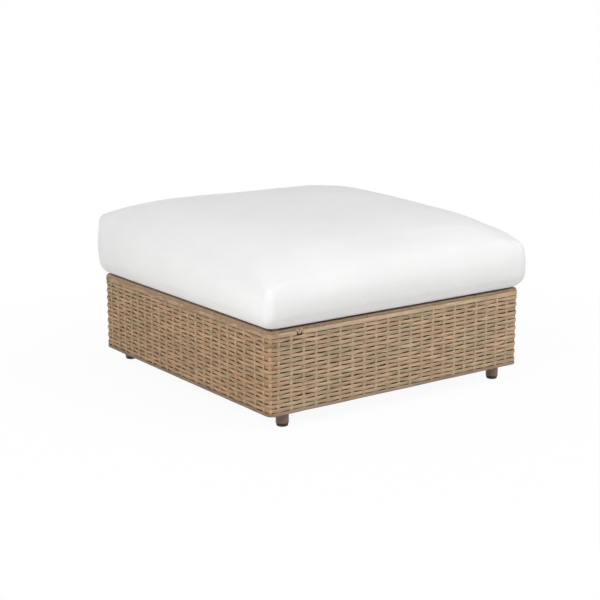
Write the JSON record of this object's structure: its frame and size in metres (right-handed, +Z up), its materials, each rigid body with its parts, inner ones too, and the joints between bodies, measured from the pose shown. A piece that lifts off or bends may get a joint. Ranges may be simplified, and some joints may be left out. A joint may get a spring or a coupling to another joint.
{
  "type": "outdoor ottoman footstool",
  "caption": "Square woven-resin outdoor ottoman on round levelling feet, with a webbing deck and a thick, loose, zipped, crowned cushion that lifts off.",
  "frame": {"origin": "on the floor under the middle of the base, at the bottom of the levelling glides", "axes": "+Z up; +X to the right along the front face; the front face looks towards -Y"},
  "size_m": [0.9862, 0.9862, 0.5358],
  "materials": {
    "frame": "satin",
    "foot": "satin",
    "wicker": "satin",
    "wicker_rim": "satin",
    "webbing": "matte",
    "glide_plastic": "matte",
    "steel": "satin",
    "canvas": "matte",
    "foam": "matte",
    "zip_tape": "matte"
  },
  "bodies": {
    "base": {"frame_top_rail_front": "frame", "frame_top_rail_back": "frame", "frame_top_rail_left": "frame", "frame_top_rail_right": "frame", "frame_bottom_rail_front": "frame", "frame_bottom_rail_back": "frame", "frame_bottom_rail_left": "frame", "frame_bottom_rail_right": "frame", "frame_corner_post_front_left": "frame", "frame_corner_post_front_right": "frame", "frame_corner_post_back_left": "frame", "frame_corner_post_back_right": "frame", "frame_mid_post_front": "frame", "frame_mid_post_back": "frame", "frame_mid_post_left": "frame", "frame_mid_post_right": "frame", "frame_seat_brace_left": "frame", "frame_seat_brace_right": "frame", "foot_plate_front_left": "frame", "foot_plate_front_right": "frame", "foot_plate_back_left": "frame", "foot_plate_back_right": "frame", "foot_tube_front_left": "foot", "foot_tube_front_right": "foot", "foot_tube_back_left": "foot", "foot_tube_back_right": "foot", "foot_insert_front_left": "glide_plastic", "foot_insert_front_right": "glide_plastic", "foot_insert_back_left": "glide_plastic", "foot_insert_back_right": "glide_plastic", "wicker_panel_front": "wicker", "wicker_panel_back": "wicker", "wicker_panel_left": "wicker", "wicker_panel_right": "wicker", "wicker_rim_front": "wicker_rim", "wicker_rim_back": "wicker_rim", "wicker_rim_left": "wicker_rim", "wicker_rim_right": "wicker_rim", "deck_strap_lengthwise_1": "webbing", "deck_strap_lengthwise_2": "webbing", "deck_strap_lengthwise_3": "webbing", "deck_strap_lengthwise_4": "webbing", "deck_strap_crosswise_1": "webbing", "deck_strap_crosswise_2": "webbing", "deck_strap_crosswise_3": "webbing", "deck_strap_crosswise_4": "webbing"},
    "glide_front_left": {"glide_pad_front_left": "glide_plastic", "glide_stem_front_left": "steel"},
    "glide_front_right": {"glide_pad_front_right": "glide_plastic", "glide_stem_front_right": "steel"},
    "glide_back_left": {"glide_pad_back_left": "glide_plastic", "glide_stem_back_left": "steel"},
    "glide_back_right": {"glide_pad_back_right": "glide_plastic", "glide_stem_back_right": "steel"},
    "cushion": {"cushion_cover": "canvas", "cushion_core": "foam", "zip_tape": "zip_tape"},
    "zip_slider": {"zip_slider": "steel"},
    "zip_pull": {"zip_pull": "steel"}
  },
  "joints": [
    {"name": "cushion_lift", "type": "slide", "parent": "base", "child": "cushion", "axis": [0, 0, 1], "range_m": [0, 0.3]},
    {"name": "glide_level_front_left", "type": "slide", "parent": "base", "child": "glide_front_left", "axis": [0, 0, -1], "range_m": [0, 0.01]},
    {"name": "glide_level_front_right", "type": "slide", "parent": "base", "child": "glide_front_right", "axis": [0, 0, -1], "range_m": [0, 0.01]},
    {"name": "glide_level_back_left", "type": "slide", "parent": "base", "child": "glide_back_left", "axis": [0, 0, -1], "range_m": [0, 0.01]},
    {"name": "glide_level_back_right", "type": "slide", "parent": "base", "child": "glide_back_right", "axis": [0, 0, -1], "range_m": [0, 0.01]},
    {"name": "zip_run", "type": "slide", "parent": "cushion", "child": "zip_slider", "axis": [1, 0, 0], "range_m": [0, 0.607]},
    {"name": "zip_pull_swing", "type": "hinge", "parent": "zip_slider", "child": "zip_pull", "pos_m": [-0.3035, 0.48702, 0.30975], "axis": [1, 0, 0], "range_deg": [-15, 150]}
  ]
}
